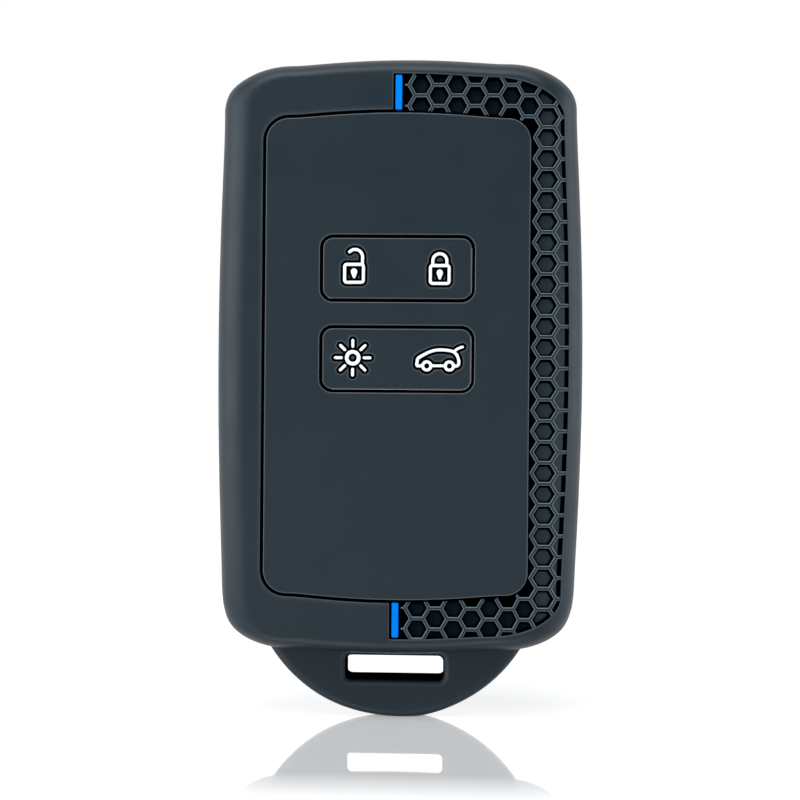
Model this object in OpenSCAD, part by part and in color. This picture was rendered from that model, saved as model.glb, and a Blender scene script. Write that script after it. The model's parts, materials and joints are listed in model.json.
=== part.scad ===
// Soft cover for a card shaped key fob, standing on the tip of its strap tab.
// X runs across the cover, Y from the front face to the back, Z up. Millimetres.
// The card slides in through the window in the back. Two sprung pads in the front
// wall reach its buttons, and a honeycomb grille fills the recess on one side.

/* [Body] */
// Width of the body at mid height
body_w = 60; // [57:0.5:66]
// Height of the body without its strap tab
body_h = 97.3; // [96:0.1:104]
// Depth of the body from front face to back face
body_d = 15.5; // [14:0.5:19]
// How far the long sides bow outwards at mid height
side_bow = 1; // [0.2:0.1:1.6]
// How far the top and bottom edges bow outwards at mid width
end_bow = 0.7; // [0.1:0.1:1]
// Half width of the ellipse that rounds each corner
corner_w = 11.1; // [9:0.1:15]
// Half height of the ellipse that rounds each corner
corner_h = 7.6; // [5.5:0.1:9]
// Width of the soft front edge along the long sides
side_round = 5.2; // [3:0.1:6]
// Width of the soft front edge along the top and bottom
end_round = 2.8; // [2.1:0.1:3]
// Depth of the soft front edge
front_round = 5.5; // [3.5:0.1:6.5]
// Width of the rounding on the back edge
back_round = 2.6; // [1:0.1:3.5]

/* [Walls] */
// Thickness of the front wall
front_wall = 2.6; // [2.2:0.1:3.2]
// Thickness of the side walls
side_wall = 1.9; // [1.4:0.1:2]
// Thickness of the lip round the window in the back
lip_wall = 1.7; // [1.2:0.1:2.4]
// Width of the back face and its rounding beside the window
window_side = 8.5; // [6.5:0.5:13]
// Height of the back face and its rounding above and below the window
window_end = 9.4; // [7.4:0.1:15]
// Corner radius of the window
window_r = 7; // [3:0.5:10]
// Rounding inside, where the side walls meet the lip
lip_round = 1; // [0.4:0.1:1.6]

/* [Front panel] */
// Distance from the long sides of the body to the centre panel
panel_side = 8.7; // [8.4:0.1:10]
// Distance from the top and bottom of the body to the centre panel
panel_end = 9.4; // [9.2:0.1:11.8]
// Corner radius of the panel
panel_r = 3.7; // [2:0.1:5]
// How far the panel's top and bottom edges bow outwards
panel_bow = 0.9; // [0:0.05:1.1]
// Thickness of the panel
panel_t = 1.3; // [0.9:0.1:1.6]
// Width of the groove round the panel
panel_groove = 0.5; // [0.3:0.05:0.7]

/* [Pads] */
// Width of each press pad
pad_w = 24; // [20:0.2:30]
// Height of each press pad
pad_h = 10; // [8:0.2:12]
// Corner radius of each press pad
pad_r = 1.6; // [0.8:0.1:3]
// Width of the groove round each pad
pad_groove = 0.45; // [0.3:0.05:0.6]
// Height of the gap between the midlines of the two pads
pad_pitch = 14.65; // [14:0.05:17]
// Height of the upper pad's centre over the middle of the body
pad_rise = 14.2; // [8:0.1:20]
// Distance between the two button centres under a pad
button_span = 14; // [11:0.2:16]
// Thickness of the thin web that carries a pad
web_t = 0.5; // [0.3:0.05:0.8]
// Radius of the pip that presses a button of the card
pip_r = 1.8; // [1:0.1:3]
// Length of each pip
pip_l = 0.6; // [0.3:0.05:1]

/* [Honeycomb grille] */
// Distance between the midlines of two neighbouring cells
cell_pitch = 3.38; // [2.9:0.02:4.4]
// Width of the ribs
rib_w = 0.55; // [0.4:0.01:0.8]
// Depth of the recess that holds the grille
recess_d = 1.3; // [0.9:0.1:1.6]
// How far the ribs' tops lie below the front face
rib_drop = 0.15; // [0.05:0.05:0.4]
// Width of the rim beside the recess at mid height
rim_side = 2.4; // [1.8:0.1:2.8]
// Width of the rim above and below the recess
rim_end = 2.95; // [2.8:0.05:3.6]
// Half width of the ellipse that rounds the corners of the recess
recess_corner_w = 12.9; // [9:0.1:15]
// Half height of the ellipse that rounds the corners of the recess
recess_corner_h = 6.9; // [5.5:0.1:9]
// Bow of the recess along the long side
recess_side_bow = 1; // [0.2:0.1:1.4]
// Bow of the recess along the top and bottom
recess_end_bow = 0.3; // [0:0.1:0.6]
// Gap between the panel and the ribs
grille_gap = 0.3; // [0.2:0.05:0.5]

/* [Colour stripes] */
// Width of each stripe
stripe_w = 1.2; // [0.8:0.05:1.6]
// Corner radius of each stripe
stripe_r = 0.25; // [0.1:0.05:0.4]
// Dark gap between a stripe and the walls of the recess
stripe_gap = 0.3; // [0.2:0.05:0.5]

/* [Strap tab] */
// Radius of the round tab
tab_r = 24.1; // [20:0.1:27]
// How far the tab reaches below the body
tab_reach = 10.5; // [9:0.1:13]
// Thickness of the tab
tab_t = 5.5; // [4:0.1:7]
// Rounding on the rim of the tab
tab_round = 1.6; // [0.5:0.1:1.9]
// Width of the strap slot
slot_w = 16.2; // [12:0.2:20]
// Height of the strap slot
slot_h = 4.2; // [4.1:0.1:5]
// Corner radius of the strap slot
slot_r = 0.9; // [0.5:0.1:1.8]
// Height of the bridge between the body's foot and the slot
slot_bridge = 0.45; // [0.1:0.05:1]

/* [Finish] */
// Colour of the soft body
slate = "#2d363d";
// Colour of the ribs
rib_slate = "#4b5864";
// Colour of the two stripes
bright_blue = "#0088f8";

/* [Hidden] */

// Facets of the round parts, and steps along one stretch of an outline
$fn = 64;
side_steps = 4;
corner_steps = 9;
end_steps = 3;
edge_steps = 7;
lip_steps = 4;
arc_steps = 8;
// Every cut runs this far past the face it opens
over = 1;

front_y = -body_d / 2;
back_y = body_d / 2;
middle_z = tab_reach + body_h / 2;
upper_z = pad_rise;
lower_z = pad_rise - pad_pitch;

panel_w = body_w - 2 * panel_side;
panel_h = body_h - 2 * panel_end;
window_w = body_w - 2 * window_side;
window_h = body_h - 2 * window_end;
// The card's room lies between these two depths
pocket_front_y = front_y + front_wall;
pocket_back_y = back_y - lip_wall;

// Half height of the seat that is cut round the panel
seat_b = panel_h / 2 + panel_groove;

// A hexagon's corner radius from the distance between its flats
function corner_radius(flats) = flats / sqrt(3);
cell_r = corner_radius(cell_pitch + rib_w);
hole_r = corner_radius(cell_pitch - rib_w);
column_step = cell_pitch * sqrt(3) / 2;
// The grille's long column stands beside the panel, and the others follow to the stripes
long_column_x = panel_w / 2 + grille_gap + cell_r;
stripe_side_x = stripe_w / 2 + stripe_gap;
// A stripe runs from the panel's groove nearly to the far wall of the recess
stripe_l = body_h / 2 - rim_end - stripe_gap - seat_b;
short_columns = floor((long_column_x - stripe_side_x - cell_r) / column_step);
rows = ceil((body_h / 2 - rim_end) / cell_pitch) + 1;

// Height of the slot's midline over the tip of the tab
slot_z = tab_reach - slot_bridge - slot_h / 2;

// Drop of a bowed edge at a share s of the way from its middle to its end, where it
// runs straight on into the corner
function bow(s) = s * s * (1 + (1 - pow(s, 8)) / 4);

// One quarter of a bowed outline with half width a and half height b: the side's
// shallow curve, then a quarter ellipse, then the end's shallow curve
function quarter(a, b, rx, rz, side, end) =
    let (cx = a - side - rx, cz = b - end - rz)
    concat(
        [for (i = [0:side_steps - 1]) let (s = i / side_steps)
            [a - side * bow(s), cz * s]],
        [for (i = [0:corner_steps]) let (t = 90 * i / corner_steps)
            [cx + rx * cos(t), cz + rz * sin(t)]],
        [for (i = [1:end_steps]) let (s = 1 - i / end_steps)
            [cx * s, b - end * bow(s)]]);

function reversed(list) = [for (i = [len(list) - 1:-1:0]) list[i]];
// All of a list but its first and last entries
function inner(list) = [for (i = [1:len(list) - 2]) list[i]];
function mirror_x(list) = [for (p = list) [-p[0], p[1]]];
function mirror_z(list) = [for (p = list) [p[0], -p[1]]];

// The whole loop, from the quarter and its three mirror images
function loop(q) =
    let (upper = concat(q, reversed(mirror_x([for (i = [0:len(q) - 2]) q[i]]))))
    concat(upper, reversed(mirror_z(inner(upper))));

// The body's outline drawn in by ix on the long sides and iz on the ends
function body_outline(ix, iz) =
    loop(quarter(body_w / 2 - ix, body_h / 2 - iz, corner_w - ix, corner_h - iz,
                 side_bow, end_bow));

// Outline of the recess that holds the grille
recess_outline = loop(quarter(body_w / 2 - rim_side, body_h / 2 - rim_end, recess_corner_w,
                              recess_corner_h, recess_side_bow, recess_end_bow));

// The panel's outline grown by g
function panel_outline(g) =
    loop(quarter(panel_w / 2 + g, panel_h / 2 + g, panel_r + g, panel_r + g, 0, panel_bow));

// Corner points of a rectangle w by h with rounded corners
function rounded(w, h, r) =
    [for (c = [0:3]) for (i = [0:arc_steps])
        let (t = 90 * (c + i / arc_steps),
             sx = (c == 0 || c == 3) ? 1 : -1,
             sz = c < 2 ? 1 : -1)
        [sx * (w / 2 - r) + r * cos(t), sz * (h / 2 - r) + r * sin(t)]];

// A flat shape drawn in X and Z, made solid from y0 back to y1
module slab(y0, y1) {
    translate([0, y1, 0])
        rotate([90, 0, 0])
            linear_extrude(y1 - y0)
                children();
}

// Skin stretched over a row of rings [outline, y], flat at both ends
module loft(rings) {
    n = len(rings[0][0]);
    points = [for (r = rings) for (p = r[0]) [p[0], r[1], p[1]]];
    sides = [for (k = [0:len(rings) - 2]) for (i = [0:n - 1])
        let (j = (i + 1) % n, a = k * n + i, b = k * n + j, c = b + n, d = a + n)
        each [[a, b, c], [a, c, d]]];
    front = [for (i = [n - 1:-1:0]) i];
    back = [for (i = [0:n - 1]) (len(rings) - 1) * n + i];
    polyhedron(points, concat([front], sides, [back]));
}

// Rings of a front edge from y0 back. The body's outline is drawn in by a wall and
// rounded over w_side on the long sides, w_end on the ends and d in depth.
function front_edge(wall, y0, w_side, w_end, d) =
    [for (i = [0:edge_steps]) let (t = 90 * (1 - i / edge_steps))
        [body_outline(wall + w_side * (1 - cos(t)), wall + w_end * (1 - cos(t))),
         y0 + d * (1 - sin(t))]];

// Rings of a back edge up to y1, rounded over w all round
function back_edge(wall, y1, w, steps) =
    [for (i = [0:steps]) let (t = 90 * i / steps, inset = wall + w * (1 - cos(t)))
        [body_outline(inset, inset), y1 - w * (1 - sin(t))]];

outer_front = front_edge(0, front_y, side_round, end_round, front_round);
outer_back = back_edge(0, back_y, back_round, edge_steps);
outer_middle = [[body_outline(0, 0), 0]];

// The part of a form between two planes across Y
module layer(y0, y1) {
    intersection() {
        children();
        slab(y0, y1) square(2 * body_h, center = true);
    }
}

// The room for the card inside the side walls. Its first and last rings are drawn once
// more past both planes, so that the band is cut right through.
module pocket() {
    front = front_edge(side_wall, pocket_front_y, side_round - side_wall,
                       end_round - side_wall, front_round - front_wall);
    back = back_edge(side_wall, pocket_back_y, lip_round, lip_steps);
    loft(concat([[front[0][0], pocket_front_y - over]], front, back,
                [[back[lip_steps][0], pocket_back_y + over]]));
}

// The layer of the body between two depths below its front face
module front_layer(depth_0, depth_1) {
    difference() {
        translate([0, depth_0, 0]) loft(concat(outer_front, outer_middle));
        translate([0, depth_1, 0]) loft(concat(outer_front, outer_middle));
    }
}

// The half of the front that holds the grille, from the stripe side to past the edge
module grille_side_2d() {
    intersection() {
        polygon(recess_outline);
        translate([-stripe_side_x, -body_h / 2]) square([body_w, body_h]);
    }
}

// Midpoints of the cells: the long column and the one outside it run the whole height,
// the short columns only above and below the panel
function cell_centres() =
    [for (k = [-short_columns:1]) for (n = [-rows:rows])
        let (x = long_column_x + k * column_step,
             z = (n + (k % 2 == 0 ? 1 / 2 : 0)) * cell_pitch)
        if (abs(z) < body_h / 2 && (k >= 0 || abs(z) > seat_b)) [x, z]];

// The ribs seen from the front
module grille_2d() {
    centres = cell_centres();
    difference() {
        intersection() {
            difference() {
                grille_side_2d();
                polygon(panel_outline(grille_gap));
            }
            union() for (c = centres) translate(c) circle(cell_r, $fn = 6);
        }
        for (c = centres) translate(c) circle(hole_r, $fn = 6);
    }
}

// The outline of a pad grown by g
module pad_2d(g) {
    polygon(rounded(pad_w + 2 * g, pad_h + 2 * g, pad_r + g));
}

// The holes that the two pads move in
module pad_holes() {
    for (z = [upper_z, lower_z])
        translate([0, 0, z])
            slab(front_y - over, pocket_front_y + over)
                pad_2d(pad_groove);
}

// Round tab with a soft rim, drawn on into the foot of the body
module tab() {
    half = tab_t / 2;
    intersection() {
        translate([0, 0, tab_r - middle_z])
            rotate([90, 0, 0])
                rotate_extrude()
                    union() {
                        translate([0, -half]) square([tab_r - tab_round, tab_t]);
                        translate([0, tab_round - half]) square([tab_r, tab_t - 2 * tab_round]);
                        for (s = [-1, 1])
                            translate([tab_r - tab_round, s * (half - tab_round)])
                                circle(tab_round);
                    }
        translate([-tab_r, -half - over, -middle_z - over])
            cube([2 * tab_r, tab_t + 2 * over, tab_reach + over + side_wall * 3 / 4]);
    }
}

// The front wall, with a seat for the panel, a recess for the grille and the pads' holes
module front_shell() {
    color(slate)
        translate([0, 0, middle_z])
            difference() {
                layer(front_y - over, pocket_front_y) loft(concat(outer_front, outer_middle));
                slab(front_y - over, front_y + panel_t) polygon(panel_outline(panel_groove));
                intersection() {
                    slab(front_y - over, 0) grille_side_2d();
                    front_layer(-over, recess_d);
                }
                pad_holes();
            }
}

// The wall round the card's edge
module side_band() {
    color(slate)
        translate([0, 0, middle_z])
            difference() {
                layer(pocket_front_y, pocket_back_y) loft(concat(outer_front, outer_back));
                pocket();
            }
}

// The lip that holds the card in, with the window in its middle
module back_lip() {
    color(slate)
        translate([0, 0, middle_z])
            difference() {
                layer(pocket_back_y, back_y + over) loft(concat(outer_middle, outer_back));
                slab(0, back_y + over) polygon(rounded(window_w, window_h, window_r));
            }
}

module strap_tab() {
    color(slate)
        translate([0, 0, middle_z])
            difference() {
                tab();
                slab(front_y, back_y) polygon(body_outline(0, 0));
                translate([0, 0, slot_z - middle_z])
                    slab(-tab_t / 2 - over, tab_t / 2 + over)
                        polygon(rounded(slot_w, slot_h, slot_r));
            }
}

module honeycomb_grille() {
    color(rib_slate)
        translate([0, 0, middle_z])
            intersection() {
                slab(front_y, 0) grille_2d();
                front_layer(rib_drop, recess_d);
            }
}

module front_panel() {
    color(slate)
        translate([0, 0, middle_z])
            difference() {
                slab(front_y, front_y + panel_t) polygon(panel_outline(0));
                pad_holes();
            }
}

// A pad with the two pips that press the buttons behind it
module pad(z) {
    color(slate)
        translate([0, 0, middle_z + z])
            union() {
                slab(front_y, pocket_front_y) pad_2d(0);
                for (s = [-1, 1])
                    translate([s * button_span / 2, pocket_front_y + pip_l, 0])
                        rotate([90, 0, 0])
                            cylinder(h = pip_l + web_t, r = pip_r);
            }
}

// The thin ring that joins a pad to the wall round it
module pad_web(z) {
    color(slate)
        translate([0, 0, middle_z + z])
            slab(pocket_front_y - web_t, pocket_front_y)
                difference() {
                    pad_2d(pad_groove);
                    pad_2d(0);
                }
}

module stripe(side) {
    color(bright_blue)
        translate([0, 0, middle_z + side * (seat_b + stripe_l / 2)])
            slab(front_y + rib_drop, front_y + recess_d)
                polygon(rounded(stripe_w, stripe_l, stripe_r));
}

module upper_pad() { pad(upper_z); }
module lower_pad() { pad(lower_z); }
module upper_pad_web() { pad_web(upper_z); }
module lower_pad_web() { pad_web(lower_z); }
module top_stripe() { stripe(1); }
module bottom_stripe() { stripe(-1); }

front_shell();
side_band();
back_lip();
strap_tab();
honeycomb_grille();
front_panel();
upper_pad();
lower_pad();
upper_pad_web();
lower_pad_web();
top_stripe();
bottom_stripe();
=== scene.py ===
# %% [markdown]
# # A soft cover for a card shaped key fob
#
# The cover is moulded from dark slate silicone. Its front has a raised centre panel,
# two press pads with white signs, a honeycomb relief down one side and two bright
# blue stripes. A round strap tab with a slot closes it at the foot.
#
# This lesson builds every visible surface from a formula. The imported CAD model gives
# the frame that the surfaces have to fit, so it is loaded first and never changed.

# %% Load the frame
import json
import math

import bmesh
import bpy
import numpy as np
from mathutils import Matrix, Vector
from mathutils.geometry import delaunay_2d_cdt

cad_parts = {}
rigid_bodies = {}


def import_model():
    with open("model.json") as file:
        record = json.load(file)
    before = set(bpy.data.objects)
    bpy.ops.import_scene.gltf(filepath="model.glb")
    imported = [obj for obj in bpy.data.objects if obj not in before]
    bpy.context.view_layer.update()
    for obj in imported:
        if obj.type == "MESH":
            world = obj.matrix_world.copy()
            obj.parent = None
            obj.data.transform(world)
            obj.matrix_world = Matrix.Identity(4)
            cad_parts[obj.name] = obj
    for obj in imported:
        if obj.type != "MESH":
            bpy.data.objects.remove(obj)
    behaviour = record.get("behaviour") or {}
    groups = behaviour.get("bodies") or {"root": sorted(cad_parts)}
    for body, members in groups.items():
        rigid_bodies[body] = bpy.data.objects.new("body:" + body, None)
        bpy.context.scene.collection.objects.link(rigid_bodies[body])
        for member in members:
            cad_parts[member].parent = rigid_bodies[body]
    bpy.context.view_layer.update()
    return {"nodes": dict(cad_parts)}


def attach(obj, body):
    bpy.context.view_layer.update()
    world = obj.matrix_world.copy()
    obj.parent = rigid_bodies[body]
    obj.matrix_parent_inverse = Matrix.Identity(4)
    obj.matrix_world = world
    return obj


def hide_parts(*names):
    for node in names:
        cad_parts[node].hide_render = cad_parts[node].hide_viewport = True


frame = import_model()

print("CAD nodes:", sorted(frame["nodes"]))

# %% [markdown]
# ## Sizes
#
# Blender works in metres, but a cover is easier to think of in millimetres. All sizes
# here are millimetres from the middle of the body: X to the honeycomb side, Y from the
# front face to the back, Z up. One line at the end of each piece turns them into metres
# and lifts them to their height over the floor.

# %% Sizes of the body
MM = 0.001
MIDDLE_Z = 59.15           # height of the body's middle over the tip of the tab
BODY = (59.86, 97.3)       # width and height of the outline before it is settled
FRONT_Y, BACK_Y = -7.75, 7.75
CORNER = (11.4, 7.6)       # half axes of the ellipse that rounds each corner
BOW = (1.0, 0.8)           # how far the sides and the ends bow outwards
SIDE_ROUND, END_ROUND = 5.2, 2.8   # width of the soft front edge on the sides and the ends
FRONT_ROUND = 5.5          # and its depth
BACK_ROUND = 2.6
FRONT_WALL, SIDE_WALL, LIP_WALL, LIP_ROUND = 2.6, 1.9, 1.7, 1.0
PANEL_T, RECESS_D = 1.3, 1.3
print("body:", *BODY, "by", BACK_Y - FRONT_Y, "mm")

# %% [markdown]
# ## One outline for everything
#
# The body, the panel and the recess share one kind of outline: a rectangle whose sides
# bow gently outwards and whose corners are quarter ellipses. It could be drawn as a
# Bezier curve by hand, but a formula keeps all the rings of a surface in step, so that
# point number 50 of one ring always faces point number 50 of the next. That makes it
# easy to stretch a skin between them. Six numbers describe such an outline: half width,
# half height, the two half axes of a corner, and the bow of the sides and of the ends.

# %% The bowed outline
def quarter(steps):
    """Angles from 0 to 90 degrees in equal steps."""
    return np.radians(np.linspace(0, 90, steps + 1))


SIDE_STEPS, CORNER_STEPS = 30, 36
SIDE_SHARE = np.linspace(0, 1, SIDE_STEPS + 1)[:-1]
CORNER_TURN = quarter(CORNER_STEPS)
# Places across the top, as shares of its half width. They crowd round the spot where
# the end wall of the recess meets the body.
WALL_SHARE, WALL_SPAN = -0.85 / 17.6, 0.03
END_RIGHT = np.linspace(1, WALL_SHARE, 25)[1:]
END_WALL = np.linspace(WALL_SHARE, WALL_SHARE - WALL_SPAN, 10)[1:]
END_LEFT = np.linspace(WALL_SHARE - WALL_SPAN, -1, 25)[1:-1]
END_SHARE = np.concatenate([END_RIGHT, END_WALL, END_LEFT])


def bow(s):
    """Drop of a bowed edge: s squared, a little fuller before the end, where its slope is 0."""
    return s**2 * (1 + (1 - s**8) / 4)


def close_loop(x, z):
    """Adds the lower half of a loop, which is the upper half seen in a mirror, upside down."""
    top = np.column_stack([x, z])
    return np.concatenate([top, (top * (1, -1))[-2:0:-1]])


def outline(half_w, half_h, rx, rz, side, end):
    """Bowed rectangle: side x = half_w - side*bow(s), corner = centre + (rx cos t, rz sin t),
    end z = half_h - end*bow(s)."""
    cx, cz = half_w - side - rx, half_h - end - rz
    turn = CORNER_TURN
    x = np.concatenate([half_w - side * bow(SIDE_SHARE), cx + rx * np.cos(turn), cx * END_SHARE,
                        -cx - rx * np.sin(turn), -half_w + side * bow(SIDE_SHARE[::-1])])
    z = np.concatenate([cz * SIDE_SHARE, cz + rz * np.sin(turn), half_h - end * bow(abs(END_SHARE)),
                        cz + rz * np.cos(turn), cz * SIDE_SHARE[::-1]])
    return close_loop(x, z)


def grown(spec, by_x, by_z=None):
    """The same kind of outline, grown by one distance on the sides and another on the ends."""
    by_z = by_x if by_z is None else by_z
    half_w, half_h, rx, rz, side, end = spec
    return half_w + by_x, half_h + by_z, rx + by_x, rz + by_z, side, end


def share_of(x, z, half_w, half_h, rx, rz, side, end):
    """0 deep inside a bowed outline, 1 on it, more outside: the distance from the corner's
    centre in units of the corner's half axes, after the bow is taken off."""
    cx, cz = half_w - side - rx, half_h - end - rz
    x, z = abs(x), abs(z)
    ux = x - side * (1 - bow(np.minimum(z / cz, 1))) - cx
    uz = z - end * (1 - bow(np.minimum(x / cx, 1))) - cz
    return np.hypot(np.maximum(ux, 0) / rx, np.maximum(uz, 0) / rz)


print("points on an end, half a side and a corner:", len(END_SHARE), SIDE_STEPS, CORNER_STEPS + 1)

# %% [markdown]
# ## How soft silicone settles
#
# A soft sleeve on a card never keeps its mould's true outline. Its sides lean over a
# little, its corners draw in or swell, and its ends slope. A lattice or a few sculpt
# strokes could bend the finished mesh, but then every other surface would have to be
# bent with it. Here the outline itself is moved by a formula, before anything is built.

# %% The settled outline
LEAN, LEAN_Z, LEAN_REACH = 0.28, -8, 52                # most lean, where, and how far off it ends
LOWER_IN, LOWER_Z, LOWER_WIDTH = 0.38, -41.9, 2.2      # the lower corners draw in
UPPER_OUT, UPPER_Z, UPPER_WIDTH = (0.28, 0.12), 43.8, 1.8   # the upper ones swell, left and right
HALF_SPAN = 29.5
SLOPE, SLOPE_Z = 0.009, 48
BODY_SPEC = (BODY[0] / 2, BODY[1] / 2, *CORNER, *BOW)


def settle(x, z):
    """How far a point moves in X and in Z. The lean in X is LEAN * (1 - ((z - LEAN_Z) / LEAN_REACH)^2).
    A corner adds its own size times (x / HALF_SPAN)^3 times a bell curve of z. Z changes by
    SLOPE * x, on the honeycomb side times z / SLOPE_Z, and there not under the middle."""
    left, right = (np.minimum(x, 0) / HALF_SPAN)**3, (np.maximum(x, 0) / HALF_SPAN)**3
    lean = LEAN * (1 - ((z - LEAN_Z) / LEAN_REACH)**2)
    lean = lean - LOWER_IN * (left + right) * np.exp(-((z - LOWER_Z) / LOWER_WIDTH)**2)
    swell = UPPER_OUT[0] * left + UPPER_OUT[1] * right
    lean = lean + swell * np.exp(-((z - UPPER_Z) / UPPER_WIDTH)**2)
    return lean, SLOPE * np.where(x < 0, x, x * np.clip(z / SLOPE_Z, 0, 1))


def body_outline(ix, iz=None):
    """The body's settled outline drawn in by ix on the sides and iz on the ends."""
    loop = outline(*grown(BODY_SPEC, -ix, -ix if iz is None else -iz))
    return loop + np.column_stack(settle(*loop.T))


def front_depth(x, z):
    """How far the soft front edge lies behind the front face. The body's outline drawn in by a
    share i of the edge's width passes through the point; i is found by halving its range.
    The depth is then a quarter ellipse, d*(1 - sqrt(1 - (1 - i)^2))."""
    lean, rise = settle(x, z)
    x, z = x - lean, z - rise
    low, high = np.zeros(len(x)), np.ones(len(x))
    for _ in range(30):
        i = (low + high) / 2
        within = share_of(x, z, *grown(BODY_SPEC, -SIDE_ROUND * i, -END_ROUND * i)) <= 1
        low, high = np.where(within, i, low), np.where(within, high, i)
    return FRONT_ROUND * (1 - np.sqrt(1 - (1 - np.clip(high, 0, 1))**2))


body_ring = body_outline(0)
print("settled body: x from", body_ring[:, 0].min().round(2), "to", body_ring[:, 0].max().round(2),
      "in a ring of", len(body_ring), "points")

# %% [markdown]
# ## From arrays to a mesh
#
# A skin is a stack of rings. Each face joins two neighbours on one ring to the two below
# them, so all the faces come from one small table of indices. A patch is a tuple: its
# points, a list of tables of faces, and a tone for each point, which later says where
# the silicone is painted dark as shade in a hollow and painted light as a highlight on an edge.

# %% Rings and skins
def ring(loop, y):
    """Lifts a flat loop of X and Z to a ring in space at depth y, one number or one a point."""
    return np.column_stack([loop[:, 0], np.broadcast_to(y, len(loop)), loop[:, 1]])


def between(a, b, shares):
    """Rings on the straight lines from the points of ring a to those of ring b."""
    return [a + (b - a) * s for s in shares]


def skin(rings, tones=0.0, closed=False):
    """Patch between rings of equal length: face i of row k has the corners (k, i), (k, i+1),
    (k+1, i+1), (k+1, i)."""
    rows, n = len(rings), len(rings[0])
    k = np.arange(rows if closed else rows - 1)[:, None] * n
    i = np.arange(n)[None, :]
    j, below = (i + 1) % n, (k + n) % (rows * n)
    quads = np.stack([k + i, k + j, below + j, below + i], axis=-1).reshape(-1, 4)
    tones = np.broadcast_to(np.asarray(tones, float), rows)[:, None]
    return np.concatenate(rings), [quads], np.broadcast_to(tones, (rows, n)).ravel()


# %% [markdown]
# A flat face with holes in it can't be made from rings. There a constrained Delaunay
# triangulation fills the space round some loops, and the even-odd rule picks the
# triangles that lie inside the first loop and outside the others.

# %% Flat caps
def inside(p, loops):
    """Even-odd rule: a point is inside if a line from it to +X crosses the loops an odd number
    of times."""
    crossings = np.zeros(len(p), int)
    for a in loops:
        b = np.roll(a, -1, 0)
        (ax, az), (bx, bz) = a.T[:, :, None], b.T[:, :, None]
        spans = (az > p[:, 1]) != (bz > p[:, 1])
        at = ax + (p[:, 1] - az) * (bx - ax) / np.where(bz == az, 1, bz - az)
        crossings += (spans & (p[:, 0] < at)).sum(axis=0)
    return crossings % 2 == 1


def triangulate(loops, epsilon):
    """Points and triangles of the whole area round some closed loops, cut along all of them."""
    flat = np.concatenate(loops)
    starts = np.cumsum([0] + [len(a) for a in loops])
    counts = [(s, np.arange(len(a)), len(a)) for s, a in zip(starts, loops)]
    edges = np.concatenate([np.column_stack([s + i, s + (i + 1) % n]) for s, i, n in counts])
    points, _, faces, *_ = delaunay_2d_cdt([Vector(p) for p in flat], edges.tolist(), [], 0, epsilon)
    return np.array([tuple(p) for p in points]), np.array(faces)


def cap(loops, y, tone=0.0):
    """Flat patch at depth y inside the first loop and outside the others."""
    points, faces = triangulate(loops, 1e-7)
    faces = faces[inside(points[faces].mean(axis=1), loops)]
    return ring(points, y), [faces], np.full(len(points), tone)


# %% [markdown]
# Most edges of the cover are found from another edge: a groove lies round a pad, and a
# rounding lies just inside a rim. So there is one helper that moves a loop outwards and
# one that draws a rounded rectangle.

# %% Offset loops and rounded rectangles
def offset(loop, distance):
    """Moves each point of a closed loop out, square to the line through its two neighbours."""
    along = np.roll(loop, -1, 0) - np.roll(loop, 1, 0)
    along /= np.linalg.norm(along, axis=1)[:, None]
    return loop + distance * np.column_stack([along[:, 1], -along[:, 0]])


def rounded(w, h, r, steps=12):
    """Rectangle w by h whose corners are quarter circles of radius r, from the right side up."""
    t = quarter(steps)
    x = np.concatenate([w / 2 - r + r * np.cos(t), -w / 2 + r - r * np.sin(t)])
    z = np.concatenate([h / 2 - r + r * np.sin(t), h / 2 - r + r * np.cos(t)])
    top = np.column_stack([x, z])
    return np.concatenate([top, -top])


# %% [markdown]
# The patches of a piece are put together, their shared points are merged, and the faces
# are turned outwards. The finished object stays at the origin with its place in its
# mesh, and rides on the body of the CAD model that it moves with. Faces deep in a
# hollow get a second material without gloss, because no light reaches them.

# %% One piece on its body
HOLLOW_TONE = -0.5
MERGE_DIST, THIN_DIST = 2e-7, 1e-8   # metres


def in_hollow(mesh):
    """True for each face whose mean tone, the sum over its corners by their number, is a hollow's."""
    tones = np.empty(len(mesh.vertices), np.float32)
    corners = np.empty(len(mesh.loops), np.int32)
    starts, counts = np.empty((2, len(mesh.polygons)), np.int32)
    mesh.attributes["tone"].data.foreach_get("value", tones)
    mesh.loops.foreach_get("vertex_index", corners)
    mesh.polygons.foreach_get("loop_start", starts)
    mesh.polygons.foreach_get("loop_total", counts)
    return np.add.reduceat(tones[corners], starts) / counts < HOLLOW_TONE


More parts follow.
